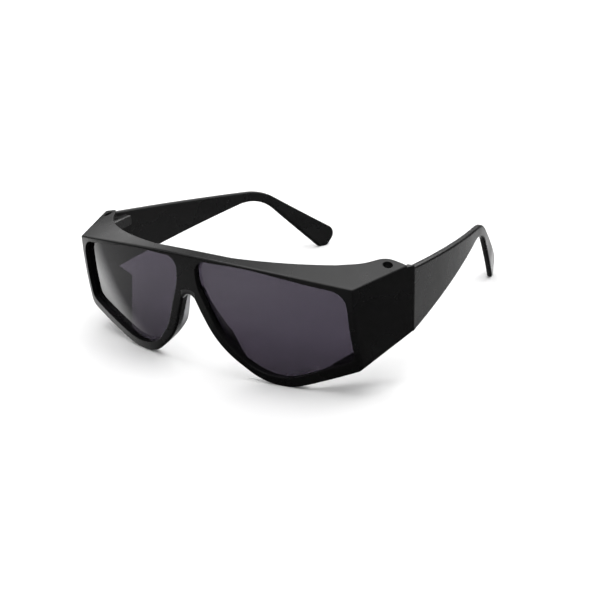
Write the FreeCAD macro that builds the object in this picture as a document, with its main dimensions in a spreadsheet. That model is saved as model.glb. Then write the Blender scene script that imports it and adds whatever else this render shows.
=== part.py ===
"""Over-spectacle safety glasses: wrap front with side shields, two lenses, nose bridge and folding temples.

Millimetres. While a piece is drawn, X runs across the front, Y runs back from the brow and Z is up from the
table. Every piece is then moved forward by half the depth, so that the origin lies on the table under the
middle of the glasses.
"""
import FreeCAD, Part
import math
import os

import Sketcher
from FreeCAD import Placement, Rotation, Vector

DIMENSIONS = {
    # outline of the front, at the brow plane
    "brow_height": 48.8,
    "brow_radius": 268.0,
    "reach_x": 80.0,
    "reach_low_z": 12.6,
    "keel_x": 32.0,
    "keel_z": -6.3,
    "keel_round": 21.0,
    "flank_x": 10.7,
    "flank_z": 12.0,
    "flank_round": 40.0,
    "arch_x": 3.0,
    "arch_z": 30.8,
    "arch_radius": 3.3,
    "ledge_slope": 0.26,
    "start_y": -6.0,
    # shape seen from above
    "wrap_radius": 203.0,
    "face_radius": 141.0,
    "face_mid_z": 44.6,
    "corner_x": 65.6,
    "corner_y": 10.4,
    "seam_x": 75.6,
    "seam_y": 37.2,
    "behind_y": 60.0,
    "behind_x": 84.1,
    # walls
    "wall": 2.0,
    "shield_wall": 2.3,
    "plate_depth": 3.6,
    "edge_round": 0.8,
    "shield_low_round": 3.2,
    "lens_recess": 2.1,
    # lens openings
    "eye_top_x": 4.2,
    "eye_top_z": 47.2,
    "eye_top_round": 5.0,
    "eye_brow_x": 27.0,
    "eye_brow_z": 47.4,
    "eye_brow_round": 100.0,
    "eye_outer_x": 63.4,
    "eye_outer_z": 41.8,
    "eye_outer_round": 6.5,
    "eye_corner_x": 65.0,
    "eye_corner_z": 15.6,
    "eye_corner_round": 4.0,
    "eye_low_x": 29.5,
    "eye_low_z": -0.2,
    "eye_low_round": 21.0,
    "eye_flank_x": 13.0,
    "eye_flank_z": 17.5,
    "eye_flank_round": 30.0,
    "eye_nose_x": 4.6,
    "eye_nose_z": 37.6,
    "eye_nose_round": 18.0,
    "eye_depth": 27.0,
    "lens_lip": 0.9,
    "lens_clearance": 0.06,
    # trims at the back of the front
    "ledge_back_x": 54.0,
    "ledge_back_y": 19.0,
    "ledge_back_radius": 98.0,
    "ledge_rise_x": 61.5,
    "ledge_rise_y": 25.3,
    "ledge_rise_round": 20.0,
    "ledge_lobe_x": 66.2,
    "ledge_lobe_y": 33.2,
    "ledge_lobe_round": 6.5,
    "ledge_end_y": 34.0,
    "ledge_low_z": 36.0,
    "shield_top_z": 46.5,
    "flange_front_x": 32.7,
    "flange_back_x": 65.2,
    "flange_back_y": 37.4,
    "flange_top_z": 38.0,
    "top_z": 60.0,
    "low_z": -10.0,
    # nose bridge
    "bridge_half_width": 3.2,
    "bridge_seam_z": 34.3,
    "bridge_seam_radius": 6.5,
    "bridge_wall": 1.8,
    "bridge_gap": 0.04,
    "bridge_reach_x": 19.0,
    "bridge_side_low_y": 8.8,
    "bridge_side_low_z": 5.5,
    "bridge_side_mid_y": 10.8,
    "bridge_side_mid_z": 17.0,
    "bridge_side_top_y": 6.2,
    "bridge_side_top_z": 31.0,
    "bridge_side_round": 7.0,
    "bridge_top_z": 38.0,
    # temples
    "temple_gap": 0.2,
    "temple_thick": 2.8,
    "temple_bow_radius": 516.0,
    "temple_end_x": 47.4,
    "temple_end_y": 171.0,
    "temple_top_z": 45.9,
    "temple_low_z": 20.9,
    "temple_bend_y": 126.0,
    "temple_bend_z": 37.5,
    "temple_bend_round": 34.0,
    "temple_tip_y": 172.4,
    "temple_tip_z": 7.0,
    "temple_tip_round": 4.6,
    "temple_heel_y": 164.0,
    "temple_heel_z": -2.6,
    "temple_crook_y": 124.4,
    "temple_crook_z": 35.0,
    "temple_crook_round": 26.0,
    "temple_edge_round": 0.9,
    # hinges
    "hinge_x": 68.8,
    "hinge_y": 30.0,
    "knuckle_radius": 2.4,
    "knuckle_height": 4.0,
    "knuckle_pitch": 4.2,
    "knuckle_top_z": 43.4,
    "lug_reach": 2.7,
    "lug_top_z": 46.4,
    "relief_radius": 2.7,
    "bore_low_z": 25.0,
    "arm_root_y": 44.0,
    "pin_radius": 1.0,
    "pin_low_z": 27.0,
    "pin_head_radius": 1.7,
    "pin_head_height": 0.8,
    "pin_head_z": 45.2,
    "head_well_radius": 1.8,
    "frame_bore_radius": 1.02,
    "knuckle_bore_radius": 1.05,
    # place of the origin
    "half_depth": 85.031,
}

doc = FreeCAD.newDocument("safety_glasses")
sheet = doc.addObject("Spreadsheet::Sheet", "Dims")
workings = doc.addObject("Spreadsheet::Sheet", "Workings")


def fill_sheet():
    for row, (name, number) in enumerate(DIMENSIONS.items(), start=1):
        sheet.set(f"A{row}", name)
        sheet.set(f"B{row}", str(number))
        sheet.setAlias(f"B{row}", name)
    doc.recompute()


def value(expression):
    """The number that an expression over the sheet stands for."""
    workings.set("A1", f"={expression}")
    workings.recompute()
    return float(workings.get("A1"))


def minus(expression):
    return f"-({expression})"


def corner(across, up, rounding=None, bend=None):
    """A corner of an outline; bend is (radius, side) of the edge leaving it, rounding its fillet radius."""
    return {"across": across, "up": up, "rounding": rounding, "bend": bend}


def mirrored(half, closing_bend=None):
    """Adds the mirror image of a half outline that runs from the lower middle to the upper middle."""
    other = []
    for index in range(len(half) - 1, -1, -1):
        bend = half[index - 1]["bend"] if index else closing_bend
        spot = half[index]
        other.append(corner(minus(spot["across"]), spot["up"], spot["rounding"], bend))
    return half + other


def bend_middle(start, end, radius, side):
    """Middle of an arc from start to end; side is +1 when its centre lies to the left of the way along it."""
    chord = end - start
    left = Vector(-chord.y, chord.x, 0).normalize()
    rise = radius - math.sqrt(radius**2 - (chord.Length / 2) ** 2)
    return (start + end) / 2 - left * side * rise


def draw(sketch, corners):
    """Draws a closed outline whose corners, bends and roundings all stay bound to the sheet."""
    points = [Vector(value(c["across"]), value(c["up"]), 0) for c in corners]
    ends = []
    for index, spot in enumerate(corners):
        start, end = points[index], points[(index + 1) % len(points)]
        if spot["bend"] is None:
            edge = sketch.addGeometry(Part.LineSegment(start, end))
            ends.append((edge, 1, 2))
            continue
        radius, side = spot["bend"]
        middle = bend_middle(start, end, value(radius), side)
        edge = sketch.addGeometry(Part.Arc(start, middle, end))
        ends.append((edge, 1, 2) if side > 0 else (edge, 2, 1))
    for index, (edge, first, last) in enumerate(ends):
        after, after_first, _ = ends[(index + 1) % len(ends)]
        sketch.addConstraint(Sketcher.Constraint("Coincident", edge, last, after, after_first))
        spot = corners[index]
        for kind, expression in (("DistanceX", spot["across"]), ("DistanceY", spot["up"])):
            bind(sketch, (kind, -1, 1, edge, first), expression)
        if spot["bend"]:
            bind(sketch, ("Radius", edge), spot["bend"][0])
    for index, spot in enumerate(corners):
        if spot["rounding"]:
            edge, first, _ = ends[index]
            sketch.fillet(edge, first, value(spot["rounding"]), True, True)
            bind(sketch, ("Radius", sketch.GeometryCount - 2), spot["rounding"])
    return sketch


def bind(sketch, parts, expression):
    number = sketch.addConstraint(Sketcher.Constraint(*parts, value(expression)))
    sketch.setExpression(f"Constraints[{number}]", expression)


def free_sketch(name, corners, plane="XY", place=("0", "0", "0")):
    """A sketch on its own, lying in a plane, with its origin at an expression-bound place."""
    turns = {"XY": Rotation(), "XZ": Rotation(Vector(1, 0, 0), 90), "YZ": Rotation(Vector(1, 1, 1), 120)}
    sketch = doc.addObject("Sketcher::SketchObject", name)
    sketch.Placement = Placement(Vector(), turns[plane])
    for axis, expression in zip("xyz", place):
        sketch.setExpression(f"Placement.Base.{axis}", expression)
    draw(sketch, corners)
    doc.recompute()
    return sketch


def offset(name, sketch, amount):
    """The closed outline of a sketch, moved outwards by an amount."""
    made = doc.addObject("Part::Offset2D", name)
    made.Source = sketch
    made.Join = 2
    made.setExpression("Value", amount)
    doc.recompute()
    return made


def extrude(name, outline, reach):
    """A solid made by moving an outline along a vector of three expressions."""
    made = doc.addObject("Part::Extrusion", name)
    made.Base = outline
    made.DirMode = "Custom"
    made.Solid = True
    made.Dir = Vector(*[value(part) for part in reach])
    for axis, expression in zip("xyz", reach):
        made.setExpression(f"Dir.{axis}", expression)
    doc.recompute()
    return made


def common(name, *shapes):
    made = doc.addObject("Part::MultiCommon", name)
    made.Shapes = list(shapes)
    doc.recompute()
    return made


def cut(name, base, tool):
    made = doc.addObject("Part::Cut", name)
    made.Base = base
    made.Tool = tool
    doc.recompute()
    return made


def fuse(name, *shapes):
    made = doc.addObject("Part::MultiFuse", name)
    made.Shapes = list(shapes)
    doc.recompute()
    return made


def box(name, low, high):
    made = doc.addObject("Part::Box", name)
    for axis, size, first, last in zip("xyz", ("Length", "Width", "Height"), low, high):
        made.setExpression(f"Placement.Base.{axis}", first)
        made.setExpression(size, f"({last}) - ({first})")
    doc.recompute()
    return made


def cylinder(name, radius, low, high):
    """An upright cylinder on the right-hand hinge axis, between two heights."""
    made = doc.addObject("Part::Cylinder", name)
    made.setExpression("Radius", radius)
    made.setExpression("Height", f"({high}) - ({low})")
    made.setExpression("Placement.Base.x", "Dims.hinge_x")
    made.setExpression("Placement.Base.y", "Dims.hinge_y")
    made.setExpression("Placement.Base.z", low)
    doc.recompute()
    return made


def mirror(name, source):
    """The same solid on the other side of the middle plane."""
    made = doc.addObject("Part::Mirroring", name)
    made.Source = source
    made.Normal = Vector(1, 0, 0)
    made.Label = name
    doc.recompute()
    return made


def barrel(name, depth):
    """Everything behind a surface that runs a given depth behind the curved face of the front."""
    radius = f"(Dims.face_radius - {depth})"
    low, high = "-10", "Dims.top_z"

    def face_y(height):
        return f"Dims.face_radius - sqrt({radius}^2 - ({height} - Dims.face_mid_z)^2)"

    back = "Dims.wrap_radius - 60"
    profile = [
        corner(face_y(low), low),
        corner(back, low),
        corner(back, high),
        corner(face_y(high), high, bend=(radius, 1)),
    ]
    made = doc.addObject("Part::Revolution", name)
    made.Source = free_sketch(f"{name}_profile", profile, "YZ")
    made.Axis = Vector(0, 0, 1)
    made.setExpression("Base.y", "Dims.wrap_radius")
    made.Angle = 100
    made.Symmetric = True
    made.Solid = True
    doc.recompute()
    return made


def front_outline():
    half = [
        corner("Dims.arch_x", "Dims.arch_z"),
        corner("Dims.flank_x", "Dims.flank_z", "Dims.flank_round"),
        corner("Dims.keel_x", "Dims.keel_z", "Dims.keel_round"),
        corner("Dims.reach_x", "Dims.reach_low_z"),
        corner(
            "Dims.reach_x",
            "Dims.brow_height - Dims.brow_radius + sqrt(Dims.brow_radius^2 - Dims.reach_x^2)",
            bend=("Dims.brow_radius", 1),
        ),
    ]
    place = ("0", "Dims.start_y", "Dims.start_y * Dims.ledge_slope")
    return free_sketch("front_outline", mirrored(half, ("Dims.arch_radius", -1)), "XZ", place)


def plan_outline():
    half = [
        corner("Dims.corner_x", "Dims.start_y"),
        corner("Dims.corner_x", "Dims.corner_y"),
        corner("Dims.behind_x", "Dims.behind_y"),
    ]
    return free_sketch("plan_outline", mirrored(half), "XY", ("0", "0", "-10"))


def eye_outline():
    return free_sketch(
        "eye_outline",
        [
            corner("Dims.eye_nose_x", "Dims.eye_nose_z", "Dims.eye_nose_round"),
            corner("Dims.eye_flank_x", "Dims.eye_flank_z", "Dims.eye_flank_round"),
            corner("Dims.eye_low_x", "Dims.eye_low_z", "Dims.eye_low_round"),
            corner("Dims.eye_corner_x", "Dims.eye_corner_z", "Dims.eye_corner_round"),
            corner("Dims.eye_outer_x", "Dims.eye_outer_z", "Dims.eye_outer_round"),
            corner("Dims.eye_brow_x", "Dims.eye_brow_z", "Dims.eye_brow_round"),
            corner("Dims.eye_top_x", "Dims.eye_top_z", "Dims.eye_top_round"),
        ],
        "XZ",
        ("0", "Dims.start_y", "0"),
    )


def rounded(name, shape, radius, wanted):
    """The same solid with the edges that a test picks out rounded to one radius."""
    body = doc.addObject("PartDesign::Body", name)
    body.BaseFeature = shape
    doc.recompute()
    edges = [f"Edge{i}" for i, edge in enumerate(body.Shape.Edges, start=1) if wanted(edge)]
    rounding = body.newObject("PartDesign::Fillet", f"{name}_rounding")
    rounding.Base = (body.Group[0], edges)
    rounding.setExpression("Radius", radius)
    doc.recompute()
    return body


def front_shell():
    """The hollow front, the block it is made from, its face and the back of its plate."""
    outline = front_outline()
    plan = plan_outline()
    deep = "(Dims.seam_y - Dims.start_y)"
    face = barrel("face", "0")
    block = common(
        "outer_block",
        extrude("outer_prism", outline, ("0", deep, f"{deep} * Dims.ledge_slope")),
        extrude("outer_wedge", plan, ("0", "0", "Dims.top_z + 20")),
        face,
    )
    low_soft = rounded("low_soft", block, "Dims.shield_low_round", is_shield_low_edge)
    outer = rounded("outer_soft", low_soft, "Dims.edge_round", is_front_edge)
    inner_outline = offset("inner_outline", outline, "-Dims.wall")
    inner_plan = offset("inner_plan", plan, "-Dims.shield_wall")
    plate_back = barrel("plate_back", "Dims.plate_depth")
    inner = common(
        "inner_block",
        extrude("inner_prism", inner_outline, ("0", "Dims.behind_y", "Dims.behind_y * Dims.ledge_slope")),
        extrude("inner_wedge", inner_plan, ("0", "0", "Dims.top_z + 20")),
        plate_back,
    )
    return cut("hollow_block", outer, inner), outer, face, plate_back


def is_shield_low_edge(edge):
    """The two straight edges along the bottoms of the shields."""
    span = edge.BoundBox
    outside = max(abs(span.XMin), abs(span.XMax)) > value("Dims.seam_x") - 1
    upright = span.XLength > 1 and span.YLength > 10
    low = span.ZMax < value("Dims.face_mid_z") and span.ZMin < value("Dims.reach_low_z")
    return outside and upright and low


def is_front_edge(edge):
    """Every edge of the front's outer block but the ones at the seam with the temples."""
    return edge.BoundBox.YMin < value("Dims.seam_y") - 1


def plan_solid(name, corners, low, high):
    """An upright solid over an outline drawn from above, between two heights."""
    sketch = free_sketch(f"{name}_plan", corners, "XY", ("0", "0", low))
    return extrude(name, sketch, ("0", "0", f"({high}) - ({low})"))


def ledge_trim(plate_back):
    """The space behind the brow ledge, which swells into a rounded lobe round each hinge pin."""
    half = [
        corner("Dims.ledge_back_x", "Dims.ledge_back_y"),
        corner("Dims.ledge_rise_x", "Dims.ledge_rise_y", "Dims.ledge_rise_round"),
        corner("Dims.ledge_lobe_x", "Dims.ledge_lobe_y", "Dims.ledge_lobe_round"),
        corner("Dims.hinge_x + 4", "Dims.ledge_end_y"),
        corner("Dims.hinge_x + 4", "Dims.behind_y"),
    ]
    outline = mirrored(half, ("Dims.ledge_back_radius", 1))
    column = plan_solid("ledge_column", outline, "Dims.ledge_low_z", "Dims.top_z")
    return common("ledge_trim", column, plate_back)


def flange_trim(plate_back):
    """The space inside the front below the ledge, which leaves only a narrow foot along each shield."""
    half = [
        corner("Dims.flange_front_x", "0"),
        corner("Dims.flange_back_x", "Dims.flange_back_y"),
        corner("Dims.flange_back_x", "Dims.behind_y"),
    ]
    column = plan_solid("flange_column", mirrored(half), "Dims.low_z", "Dims.flange_top_z")
    return common("flange_trim", column, plate_back)


def shield_trim():
    """The space over the rear end of each shield, whose top is level with the temple behind the ledge."""
    low = ("-Dims.behind_x", "Dims.ledge_end_y", "Dims.shield_top_z")
    return box("shield_trim", low, ("Dims.behind_x", "Dims.behind_y", "Dims.top_z"))


def saddle(name, gap):
    """The tongue of the nose bridge that shows below the seam on the bridge, less a gap all round."""
    side = f"(Dims.bridge_half_width - {gap})"
    low = "Dims.arch_z - 8"
    high = f"Dims.bridge_seam_z - {gap}"
    half = [corner(side, low), corner(side, high, bend=("Dims.bridge_seam_radius", 1))]
    sketch = free_sketch(f"{name}_outline", mirrored(half), "XZ", ("0", "Dims.start_y", "0"))
    return extrude(name, sketch, ("0", "Dims.behind_y", "0"))


def nose_bridge(outline, outer, plate_back):
    """Saddle over the nose with a flange down each side of it, set in from behind the plate."""
    side = [
        corner("Dims.start_y", "Dims.bridge_side_low_z"),
        corner("Dims.bridge_side_low_y", "Dims.bridge_side_low_z", "Dims.bridge_side_round / 4"),
        corner("Dims.bridge_side_mid_y", "Dims.bridge_side_mid_z", "Dims.bridge_side_round"),
        corner("Dims.bridge_side_top_y", "Dims.bridge_side_top_z", "Dims.bridge_side_round"),
        corner("Dims.bridge_side_top_y", "Dims.bridge_top_z"),
        corner("Dims.start_y", "Dims.bridge_top_z"),
    ]
    sketch = free_sketch("bridge_side", side, "YZ", ("-Dims.bridge_reach_x", "0", "0"))
    envelope = extrude("bridge_envelope", sketch, ("2 * Dims.bridge_reach_x", "0", "0"))
    lining = offset("bridge_inner", outline, "-Dims.bridge_wall")
    deep = "Dims.behind_y"
    hollow = extrude("bridge_hollow", lining, ("0", deep, f"{deep} * Dims.ledge_slope"))
    wall = cut("bridge_wall", common("bridge_block", outer, envelope), hollow)
    flanges = common("bridge_flanges", wall, plate_back)
    tongue = common("bridge_tongue", outer, envelope, saddle("saddle", "Dims.bridge_gap"))
    return fuse("bridge_solid", flanges, tongue)


def eye(name, growth, depth):
    """The column of one lens opening, grown sideways, behind a given depth in the face."""
    outline = offset(f"{name}_outline", doc.getObject("eye_outline"), growth)
    column = extrude(f"{name}_column", outline, ("0", "Dims.eye_depth", "0"))
    return common(name, column, depth)


def lug(name, low, high):
    """One ear of the hinge on the front: a round end joined to the shield."""
    across = "Dims.hinge_x"
    half = "Dims.knuckle_radius"
    web = box(
        f"{name}_web",
        (across, f"Dims.hinge_y - {half}", low),
        (f"{across} + Dims.lug_reach", f"Dims.hinge_y + {half}", high),
    )
    return fuse(name, cylinder(f"{name}_round", half, low, high), web)


def knuckle_span(place):
    """Lowest and highest level of the ear that lies a number of places below the top one."""
    high = f"Dims.knuckle_top_z - {place} * Dims.knuckle_pitch"
    return f"{high} - Dims.knuckle_height", high


def both(name, shape):
    """A solid together with its mirror image, for cuts and lugs that both sides share."""
    return fuse(name, shape, mirror(f"{name}_mirror", shape))


def hinge_bore(name, radius):
    return cylinder(name, radius, "Dims.bore_low_z", "Dims.top_z")


def front_frame(shell, voids):
    """The one-piece front: plate, brow ledge, shields and flange, with three hinge ears on each side."""
    hollowed = cut("front_cut", shell, voids)
    ears = [lug("ear_top", f"{knuckle_span(0)[1]} + 0.2", "Dims.lug_top_z")]
    ears += [lug(f"ear_{place}", *knuckle_span(place)) for place in (1, 3)]
    right_ears = fuse("right_ears", *ears)
    eared = fuse("front_eared", hollowed, right_ears, mirror("left_ears", right_ears))
    well = cylinder("head_well", "Dims.head_well_radius", "Dims.pin_head_z", "Dims.top_z")
    bores = fuse("pin_bore", hinge_bore("frame_bore", "Dims.frame_bore_radius"), well)
    return cut("front_solid", eared, both("pin_bores", bores))


def temple_plate():
    side = [
        corner("Dims.temple_heel_y", "Dims.temple_heel_z", "Dims.temple_tip_round"),
        corner("Dims.temple_tip_y", "Dims.temple_tip_z", "Dims.temple_tip_round"),
        corner("Dims.temple_bend_y", "Dims.temple_bend_z", "Dims.temple_bend_round"),
        corner("Dims.seam_y + Dims.temple_gap", "Dims.temple_top_z"),
        corner("Dims.seam_y + Dims.temple_gap", "Dims.temple_low_z"),
        corner("Dims.temple_crook_y", "Dims.temple_crook_z", "Dims.temple_crook_round"),
    ]
    profile = free_sketch("temple_side", side, "YZ", ("0", "0", "0"))
    front_y = "Dims.seam_y + Dims.temple_gap"
    thick = "Dims.temple_thick"
    inner_bow = f"(Dims.temple_bow_radius - {thick})"
    plan = [
        corner("Dims.seam_x", front_y, bend=("Dims.temple_bow_radius", 1)),
        corner("Dims.temple_end_x", "Dims.temple_end_y"),
        corner(f"Dims.temple_end_x - {thick}", "Dims.temple_end_y", bend=(inner_bow, -1)),
        corner(f"Dims.seam_x - {thick}", front_y),
    ]
    strip = plan_solid("temple_strip", plan, "Dims.low_z", "Dims.top_z")
    return common("temple_blank", extrude("temple_profile", profile, ("Dims.reach_x", "0", "0")), strip)


def knuckle(name, place):
    """One ear of the hinge on the temple, on an arm that reaches forward inside the shield."""
    low, high = knuckle_span(place)
    across, along = "Dims.hinge_x", "Dims.hinge_y"
    arm = [
        corner(f"{across} - 2.2", f"{along} + 1.0"),
        corner(f"{across} + 1.9", f"{along} + 1.2"),
        corner("Dims.seam_x - 2.9", "Dims.seam_y - 0.2"),
        corner("Dims.seam_x - 2.2", "Dims.arm_root_y"),
        corner(f"{across} + 0.4", "Dims.arm_root_y"),
    ]
    round_end = cylinder(f"{name}_round", "Dims.knuckle_radius", low, high)
    return fuse(name, plan_solid(f"{name}_arm", arm, low, high), round_end)


def temple():
    """The right-hand temple: a bowed blade with a hook behind the ear and two hinge ears at its root."""
    table = box("temple_floor", ("0", "0", "Dims.low_z"), ("Dims.reach_x", "2 * Dims.half_depth + 9", "0"))
    soft = rounded("temple_soft", temple_plate(), "Dims.temple_edge_round", is_blade_edge)
    blade = cut("temple_blade", soft, table)
    eared = fuse("temple_eared", blade, knuckle("knuckle_0", 0), knuckle("knuckle_2", 2))
    return cut("temple_solid", eared, hinge_bore("knuckle_bore", "Dims.knuckle_bore_radius"))


def is_blade_edge(edge):
    """Every edge of a temple blade but the ones round its root."""
    return edge.BoundBox.YMax > value("Dims.seam_y") + 1


def hinge_pin():
    shaft = cylinder("pin_shaft", "Dims.pin_radius", "Dims.pin_low_z", "Dims.pin_head_z")
    head_top = "Dims.pin_head_z + Dims.pin_head_height"
    return fuse("pin_solid", shaft, cylinder("pin_head", "Dims.pin_head_radius", "Dims.pin_head_z", head_top))


def lens(front, back):
    """A curved lens that fills the seat behind the rim, less its clearance."""
    block = eye("lens_block", "Dims.lens_lip - Dims.lens_clearance", front)
    return cut("lens_solid", block, back)


def piece(name, shape):
    """A finished piece: its solid, moved so that the origin is under the middle of the glasses."""
    body = doc.addObject("PartDesign::Body", name)
    body.BaseFeature = shape
    body.Label = name
    body.setExpression("Placement.Base.y", "-Dims.half_depth")
    return body


def front_voids(face, seat_face, plate_back):
    """All that is taken out of the front: trims, openings, lens seats, bridge seat and hinge room."""
    table = box("table_trim", ("-Dims.behind_x", "0", "Dims.low_z"), ("Dims.behind_x", "Dims.behind_y", "0"))
    opening = fuse("opening", eye("eye_hole", "0.001", face), eye("lens_seat", "Dims.lens_lip", seat_face))
    relief = cylinder("relief", "Dims.relief_radius", knuckle_span(3)[1], f"{knuckle_span(0)[1]} + 0.2")
    return fuse(
        "front_voids",
        fuse("trims", ledge_trim(plate_back), flange_trim(plate_back), shield_trim(), table),
        both("openings", opening),
        both("reliefs", relief),
        saddle("bridge_seat", "0"),
    )


def build():
    fill_sheet()
    eye_outline()
    shell, outer, face, plate_back = front_shell()
    seat_face = barrel("lens_front", "Dims.lens_recess")
    right_temple = temple()
    right_lens = lens(seat_face, plate_back)
    right_pin = hinge_pin()
    return [
        piece("front_frame", front_frame(shell, front_voids(face, seat_face, plate_back))),
        piece("nose_bridge", nose_bridge(doc.getObject("front_outline"), outer, plate_back)),
        piece("lens_right", right_lens),
        piece("lens_left", mirror("lens_mirrored", right_lens)),
        piece("temple_right", right_temple),
        piece("temple_left", mirror("temple_mirrored", right_temple)),
        piece("hinge_pin_right", right_pin),
        piece("hinge_pin_left", mirror("pin_mirrored", right_pin)),
    ]


def check(pieces):
    for item in doc.Objects:
        if "Invalid" in item.State or "Error" in item.State:
            raise RuntimeError(f"{item.Label} is {item.State}")
        shape = getattr(item, "Shape", None)
        if shape is not None and (shape.isNull() or not shape.isValid()):
            raise RuntimeError(f"{item.Label} has no valid shape")
    for item in pieces:
        if len(item.Shape.Solids) != 1:
            raise RuntimeError(f"{item.Label} is {len(item.Shape.Solids)} solids")


def export(pieces):
    os.makedirs("parts", exist_ok=True)
    for item in pieces:
        item.Shape.exportStep(f"parts/{item.Label}.step")


finished = build()
doc.recompute()
check(finished)
export(finished)
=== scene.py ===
"""Looks for the safety glasses: materials, studio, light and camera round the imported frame.

Metres, in the frame's own axes: +X across the front, +Y back towards the temple tips, +Z up from the floor.
"""
import math

import bpy
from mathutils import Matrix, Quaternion, Vector

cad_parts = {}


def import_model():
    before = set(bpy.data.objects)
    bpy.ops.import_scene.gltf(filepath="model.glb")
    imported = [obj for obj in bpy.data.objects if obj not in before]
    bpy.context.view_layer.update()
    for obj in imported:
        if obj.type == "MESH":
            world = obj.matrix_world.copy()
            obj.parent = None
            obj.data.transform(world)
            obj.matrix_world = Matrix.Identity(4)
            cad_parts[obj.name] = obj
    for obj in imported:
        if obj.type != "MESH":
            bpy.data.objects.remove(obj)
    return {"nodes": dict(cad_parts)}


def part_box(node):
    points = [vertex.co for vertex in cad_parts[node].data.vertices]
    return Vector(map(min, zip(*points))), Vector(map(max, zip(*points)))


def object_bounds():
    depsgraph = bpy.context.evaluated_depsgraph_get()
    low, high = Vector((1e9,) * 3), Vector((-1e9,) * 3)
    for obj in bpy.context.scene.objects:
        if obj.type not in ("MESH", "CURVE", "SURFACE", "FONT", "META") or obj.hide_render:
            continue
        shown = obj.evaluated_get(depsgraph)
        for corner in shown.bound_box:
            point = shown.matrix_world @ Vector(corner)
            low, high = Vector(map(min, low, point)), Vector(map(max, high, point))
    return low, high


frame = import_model()
CAD_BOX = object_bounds()

MM = 0.001

# Camera: where it aims, and from where.
AIM = Vector((32.1, -57.5, 28.2)) * MM
CAMERA_AZIMUTH = 35.28
CAMERA_ELEVATION = 20.56
CAMERA_ROLL = -1.76
CAMERA_DISTANCE = 378 * MM
CAMERA_LENS = 60
SENSOR_WIDTH = 36

# Studio, sized from the object.
OBJECT_SPAN = (CAD_BOX[1] - CAD_BOX[0]).length
FLOOR_REACH = 12 * OBJECT_SPAN
COVE_START = 2.2 * OBJECT_SPAN
COVE_RADIUS = 1.5 * OBJECT_SPAN
COVE_HEIGHT = 7 * OBJECT_SPAN
COVE_STEPS = 12

EDGE_RADIUS = 0.35 * MM
LENS_INDEX = 1.5
# Lens tints, low and high on the lens; the low one is darker with painted shade, for the shadowed floor seen
# through the lower lens.
LENS_TINT_PAINTED_SHADE_LOW = (0.195, 0.180, 0.210, 1)
LENS_TINT_HIGH = (0.224, 0.207, 0.243, 1)

# Brightness of the studio round the object, as glossy surfaces see it, in (place, brightness) stops set for
# the camera's view. AROUND runs once round the horizon from straight behind by the left, the front
# and the right. ABOVE runs from straight down to straight up, and takes over from AROUND between the two
# heights of HANDOVER, each the sine of an elevation. HORIZON multiplies both, on the same places as ABOVE.
# FILL lights the matt part of every surface.
AROUND = (
    (0.00, 0.80), (0.08, 2.20), (0.15, 2.00), (0.20, 0.90), (0.262, 2.90), (0.284, 0.55), (0.34, 0.50),
    (0.42, 0.62), (0.50, 0.30), (0.70, 0.05), (0.79, 0.10), (0.83, 0.22), (0.87, 0.34), (0.92, 0.42),
)
HANDOVER = (0.25, 0.5)
ABOVE = ((0.0, 0.5), (0.66, 3.6), (0.73, 1.7), (0.82, 0.20), (0.87, 0.6), (0.93, 4.2), (1.0, 4.6))
HORIZON = (
    (0.0, 0.03), (0.17, 0.05), (0.24, 0.55), (0.30, 1.0),
    (0.36, 1.0), (0.42, 0.08), (0.64, 0.08), (0.67, 1.0),
)
FILL = (0.2, 0.2, 0.2, 1)
WHITE = (1, 1, 1, 1)


class Nodes:
    """The node tree of a material or a world, with short calls to add and join nodes."""

    def __init__(self, owner):
        self.owner = owner
        owner.use_nodes = True
        self.tree = owner.node_tree
        self.tree.nodes.clear()

    def add(self, kind, **settings):
        node = self.tree.nodes.new(f"ShaderNode{kind}")
        for key, setting in settings.items():
            if key in node.inputs:
                self.put(node.inputs[key], setting)
            else:
                setattr(node, key, setting)
        return node

    def put(self, socket, setting):
        if isinstance(setting, bpy.types.NodeSocket):
            self.tree.links.new(setting, socket)
        else:
            socket.default_value = setting

    def coordinates(self, stretch=(1, 1, 1)):
        texture = self.add("TexCoord")
        mapping = self.add("Mapping", Vector=texture.outputs["Object"], Scale=stretch)
        return mapping.outputs["Vector"]

    def noise(self, scale, detail=2.0, stretch=(1, 1, 1)):
        made = self.add("TexNoise", Vector=self.coordinates(stretch), Scale=scale, Detail=detail)
        return made.outputs["Fac"]

    def remap(self, socket, low, high, to_low, to_high):
        made = self.add("MapRange", Value=socket)
        for key, number in zip(("From Min", "From Max", "To Min", "To Max"), (low, high, to_low, to_high)):
            made.inputs[key].default_value = number
        return made.outputs["Result"]

    def blend(self, factor, first, second):
        made = self.add("Mix", data_type="RGBA")
        self.put(made.inputs["Factor"], factor)
        self.put(made.inputs["A"], first)
        self.put(made.inputs["B"], second)
        return made.outputs["Result"]

    def finish(self, shader):
        self.add("OutputMaterial", Surface=shader.outputs[0])
        return self.owner


def new_material(name):
    return Nodes(bpy.data.materials.new(name))


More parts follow.
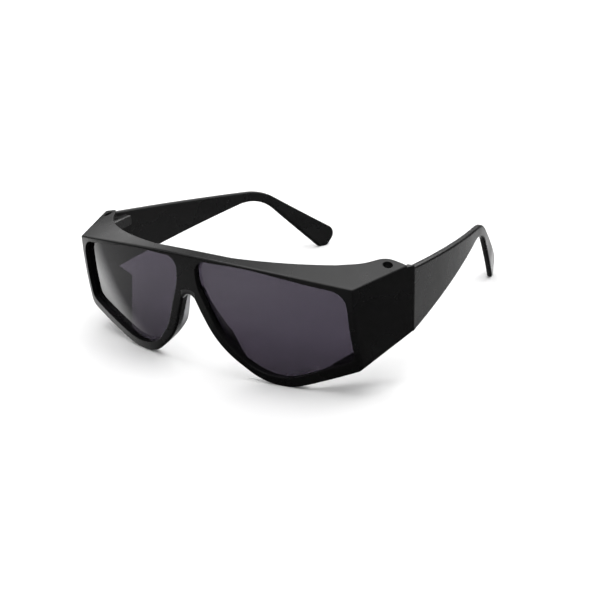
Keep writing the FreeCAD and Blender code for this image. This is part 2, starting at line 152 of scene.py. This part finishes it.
def plastic(name, shade, roughness, grain, sheen=0.5, painted_side_light=None):
    """Moulded black plastic: spark-eroded grain, handling marks, rubbed edges and, if asked, painted light:
    a pale colour on faces turned to either side.
    """
    n = new_material(name)
    rounded = n.add("Bevel", samples=6, Radius=EDGE_RADIUS)
    fine = n.noise(2600, 3)
    coarse = n.noise(900, 2)
    height = n.add("Math", operation="ADD")
    n.put(height.inputs[0], fine)
    n.put(height.inputs[1], coarse)
    bump = n.add("Bump", Strength=grain, Distance=0.06 * MM, Height=height.outputs[0])
    n.put(bump.inputs["Normal"], rounded.outputs[0])
    handling = n.noise(55, 5)
    gloss = n.remap(handling, 0.35, 0.7, roughness - 0.05, roughness + 0.07)
    geometry = n.add("NewGeometry")
    edge = n.add("VectorMath", operation="DOT_PRODUCT")
    n.put(edge.inputs[0], rounded.outputs[0])
    n.put(edge.inputs[1], geometry.outputs["Normal"])
    worn = n.remap(edge.outputs["Value"], 0.99, 0.8, 0.0, 1.0)
    rubbed = n.add("Math", operation="MULTIPLY")
    n.put(rubbed.inputs[0], worn)
    n.put(rubbed.inputs[1], n.remap(n.noise(300, 4), 0.4, 0.65, 0.1, 0.8))
    dark = (shade, shade, shade * 1.04, 1)
    light = (shade * 1.25, shade * 1.25, shade * 1.3, 1)
    pale = (shade * 2.2, shade * 2.2, shade * 2.3, 1)
    body = n.blend(n.remap(handling, 0.4, 0.65, 0, 1), dark, light)
    shader = n.add("BsdfPrincipled", Roughness=gloss, Normal=bump.outputs[0])
    colour = n.blend(rubbed.outputs[0], body, pale)
    # Painted light: faces turned towards either side take a pale grey in place of the black, for the light
    # they catch.
    if painted_side_light:
        normal = n.add("SeparateXYZ", Vector=geometry.outputs["Normal"])
        sideways = n.add("Math", operation="ABSOLUTE")
        n.put(sideways.inputs[0], normal.outputs["X"])
        painted_side_mask = n.remap(sideways.outputs[0], 0.8, 0.95, 0.0, 1.0)
        colour = n.blend(painted_side_mask, colour, (painted_side_light, painted_side_light, painted_side_light * 1.04, 1))
    n.put(shader.inputs["Base Color"], colour)
    n.put(shader.inputs["Specular IOR Level"], sheen)
    return n.finish(shader)


def tinted_lens():
    """Clear smoke-grey sheet that lets light through and reflects some softly; painted shade makes it a
    little darker low down.

    The back of a face takes the inverse index: light isn't bent by a transparent shader, so it would
    otherwise be wholly reflected inside the sheet at slanting angles.
    """
    n = new_material("tinted_lens_plastic")
    smudge = n.noise(38, 4)
    geometry = n.add("NewGeometry")
    height = n.add("SeparateXYZ", Vector=geometry.outputs["Position"])
    low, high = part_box("lens_right")
    # Painted shade: the tint darkens towards the bottom of the lens, for the shadow on the floor behind it.
    painted_shade_grade = n.remap(height.outputs["Z"], low.z, (low.z + high.z) / 2, 0.0, 1.0)
    tint_and_painted_shade = n.blend(painted_shade_grade, LENS_TINT_PAINTED_SHADE_LOW, LENS_TINT_HIGH)
    clear = n.add("BsdfTransparent", Color=tint_and_painted_shade)
    shine = n.add("BsdfGlossy", Color=(1, 1, 1, 1), Roughness=n.remap(smudge, 0.4, 0.7, 0.02, 0.05))
    index = n.remap(geometry.outputs["Backfacing"], 0.0, 1.0, LENS_INDEX, 1 / LENS_INDEX)
    fresnel = n.add("Fresnel", IOR=index)
    mixed = n.add("MixShader")
    n.put(mixed.inputs[0], fresnel.outputs[0])
    n.put(mixed.inputs[1], clear.outputs[0])
    n.put(mixed.inputs[2], shine.outputs[0])
    return n.finish(mixed)


def turned_steel():
    """Dull turned steel with fine rings round the pin's own axis."""
    n = new_material("turned_steel")
    rings = n.noise(4000, 2, (1, 1, 0.05))
    bump = n.add("Bump", Strength=0.2, Distance=0.02 * MM, Height=rings)
    shader = n.add("BsdfPrincipled", Metallic=1.0, Normal=bump.outputs[0])
    n.put(shader.inputs["Base Color"], n.blend(n.noise(700, 3), (0.30, 0.30, 0.31, 1), (0.5, 0.5, 0.51, 1)))
    n.put(shader.inputs["Roughness"], n.remap(rings, 0.3, 0.7, 0.3, 0.5))
    return n.finish(shader)


def paper():
    """The pale seamless paper of the studio, with painted light: it glows, more the further it is from the
    object.
    """
    n = new_material("studio_paper")
    away = n.add("VectorMath", operation="LENGTH")
    n.put(away.inputs[0], n.add("NewGeometry").outputs["Position"])
    # Painted light: the paper emits light, rising with distance from the object, so the far floor reads
    # white.
    painted_glow = n.remap(away.outputs["Value"], 0.6 * OBJECT_SPAN, 2 * OBJECT_SPAN, 0.0, 0.8)
    tone = n.blend(n.noise(6, 3), (0.86, 0.86, 0.86, 1), (0.88, 0.88, 0.88, 1))
    shader = n.add("BsdfPrincipled", Roughness=0.9)
    n.put(shader.inputs["Base Color"], tone)
    n.put(shader.inputs["Specular IOR Level"], 0.1)
    n.put(shader.inputs["Emission Color"], tone)
    n.put(shader.inputs["Emission Strength"], painted_glow)
    return n.finish(shader)


def dress(node, material):
    mesh = frame["nodes"][node].data
    mesh.materials.clear()
    mesh.materials.append(material)


def backdrop():
    """A seamless sweep: a flat floor that curves up into a wall behind the object."""
    profile = [(-FLOOR_REACH, 0.0), (COVE_START, 0.0)]
    for step in range(1, COVE_STEPS + 1):
        turn = math.radians(90 * step / COVE_STEPS)
        profile.append((COVE_START + COVE_RADIUS * math.sin(turn), COVE_RADIUS * (1 - math.cos(turn))))
    profile.append((COVE_START + COVE_RADIUS, COVE_HEIGHT))
    points = [(side * FLOOR_REACH, along, up) for along, up in profile for side in (-1, 1)]
    faces = [(2 * i, 2 * i + 1, 2 * i + 3, 2 * i + 2) for i in range(len(profile) - 1)]
    mesh = bpy.data.meshes.new("sweep")
    mesh.from_pydata(points, [], faces)
    for face in mesh.polygons:
        face.use_smooth = True
    mesh.materials.append(paper())
    sweep = bpy.data.objects.new("sweep", mesh)
    sweep.rotation_euler.z = math.radians(CAMERA_AZIMUTH)
    sweep.visible_glossy = False
    bpy.context.scene.collection.objects.link(sweep)


def direction(azimuth, elevation):
    """The way from the object to something seen at these angles; azimuth 0 is the front side."""
    a, e = math.radians(azimuth), math.radians(elevation)
    return Vector((math.sin(a) * math.cos(e), -math.cos(a) * math.cos(e), math.sin(e)))


def softbox(name, azimuth, elevation, distance, size, power):
    data = bpy.data.lights.new(name, "AREA")
    data.shape = "RECTANGLE"
    data.size, data.size_y = size
    data.energy = power
    light = bpy.data.objects.new(name, data)
    away = direction(azimuth, elevation)
    light.location = away * distance
    light.rotation_mode = "QUATERNION"
    light.rotation_quaternion = away.to_track_quat("Z", "Y")
    light.visible_glossy = False
    bpy.context.scene.collection.objects.link(light)


def ramp(n, factor, stops):
    """A grey ramp over (place, brightness) stops."""
    made = n.add("ValToRGB")
    n.put(made.inputs["Fac"], factor)
    band = made.color_ramp
    while len(band.elements) < len(stops):
        band.elements.new(0.5)
    for element, (place, grey) in zip(band.elements, stops):
        element.position = place
        element.color = (grey, grey, grey, 1)
    return made.outputs["Color"]


def world():
    """White to the camera; to glossy surfaces, pale behind and on the left and dark on the right."""
    made = bpy.data.worlds.new("studio")
    n = Nodes(made)
    way = n.add("SeparateXYZ", Vector=n.add("TexCoord").outputs["Generated"])
    angle = n.add("Math", operation="ARCTAN2")
    n.put(angle.inputs[0], way.outputs["X"])
    ahead = n.add("Math", operation="MULTIPLY")
    n.put(ahead.inputs[0], way.outputs["Y"])
    n.put(ahead.inputs[1], -1.0)
    n.put(angle.inputs[1], ahead.outputs[0])
    turn = n.remap(angle.outputs[0], -math.pi, math.pi, 0.0, 1.0)
    around = ramp(n, turn, AROUND)
    rise = n.remap(way.outputs["Z"], -1.0, 1.0, 0.0, 1.0)
    above = ramp(n, rise, ABOVE)
    low = n.remap(way.outputs["Z"], *HANDOVER, 0.0, 1.0)
    seen = n.add("VectorMath", operation="MULTIPLY")
    n.put(seen.inputs[0], n.blend(low, around, above))
    n.put(seen.inputs[1], ramp(n, rise, HORIZON))
    path = n.add("LightPath")
    reflected = n.blend(path.outputs["Is Glossy Ray"], FILL, seen.outputs[0])
    shown = n.blend(path.outputs["Is Camera Ray"], reflected, WHITE)
    light = n.add("Background", Strength=1.0)
    n.put(light.inputs["Color"], shown)
    n.add("OutputWorld", Surface=light.outputs[0])
    bpy.context.scene.world = made


def camera():
    data = bpy.data.cameras.new("camera")
    data.lens = CAMERA_LENS
    data.sensor_width = SENSOR_WIDTH
    data.clip_start = 0.01
    data.clip_end = 100
    made = bpy.data.objects.new("camera", data)
    away = direction(CAMERA_AZIMUTH, CAMERA_ELEVATION)
    made.location = AIM + away * CAMERA_DISTANCE
    made.rotation_mode = "QUATERNION"
    roll = Quaternion((0, 0, 1), math.radians(CAMERA_ROLL))
    made.rotation_quaternion = away.to_track_quat("Z", "Y") @ roll
    bpy.context.scene.collection.objects.link(made)
    bpy.context.scene.camera = made


black = plastic("frame_black_plastic", shade=0.0034, roughness=0.27, grain=0.10, sheen=0.22)
temple_black = plastic("temple_black_plastic", shade=0.0046, roughness=0.28, grain=0.09)
bridge_black = plastic(
    "bridge_black_plastic", shade=0.006, roughness=0.34, grain=0.2, sheen=0.6, painted_side_light=0.5
)
lens = tinted_lens()
steel = turned_steel()

dress("front_frame", black)
dress("nose_bridge", bridge_black)
for side in ("left", "right"):
    dress(f"lens_{side}", lens)
    dress(f"temple_{side}", temple_black)
    dress(f"hinge_pin_{side}", steel)

backdrop()
softbox("key", azimuth=55, elevation=76, distance=2.4, size=(2.6, 2.6), power=75)
world()
camera()
bpy.context.scene.view_settings.view_transform = "Standard"
